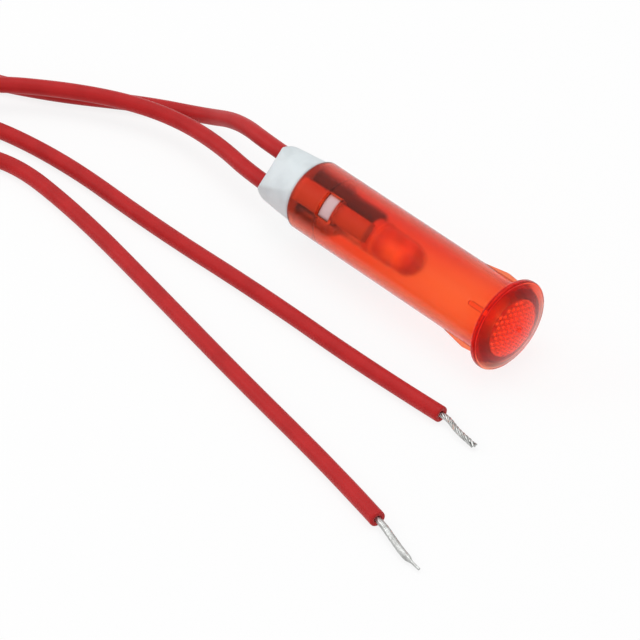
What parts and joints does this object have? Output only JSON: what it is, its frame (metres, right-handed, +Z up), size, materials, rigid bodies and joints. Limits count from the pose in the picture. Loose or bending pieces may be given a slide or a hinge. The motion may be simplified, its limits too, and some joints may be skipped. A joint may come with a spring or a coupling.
{
  "type": "panel mount indicator light",
  "caption": "Snap-in round panel indicator: red lens and barrel in one moulding, white wire plug at the rear, LED inside, and free wire leads with bare ends.",
  "frame": {"origin": "on the barrel's axis, in the plane of the flange's back face, where the lamp seats on its panel", "axes": "+X along the barrel towards the lens; +Z up with the lamp and its leads lying on a flat surface; the latch windows lean 42.5 degrees from +Z towards -Y"},
  "size_m": [0.0917, 0.0415, 0.008],
  "materials": {
    "lens_red": "clear-tinted moulded acrylic, glossy",
    "nylon_white": "natural white nylon, satin",
    "led_red": "clear-tinted red epoxy, glossy",
    "led_frame": "tinned lead frame",
    "led_chip": "semiconductor die, smooth",
    "bond_gold": "bright gold wire",
    "pvc_red": "red PVC insulation, satin",
    "tinned_copper": "stranded, tinned, slightly dull",
    "solder": "bright solder",
    "sleeve_black": "black heat-shrink tubing, satin"
  },
  "bodies": {
    "root": {"lens_barrel": "lens_red", "wire_plug": "nylon_white", "led_epoxy": "led_red", "led_cathode": "led_frame", "led_anode": "led_frame", "led_die": "led_chip", "led_bond_wire": "bond_gold", "upper_lead_insulation": "pvc_red", "lower_lead_insulation": "pvc_red", "upper_lead_conductor": "tinned_copper", "lower_lead_conductor": "tinned_copper", "upper_solder_joint": "solder", "lower_solder_joint": "solder", "upper_sleeve": "sleeve_black"}
  },
  "joints": []
}
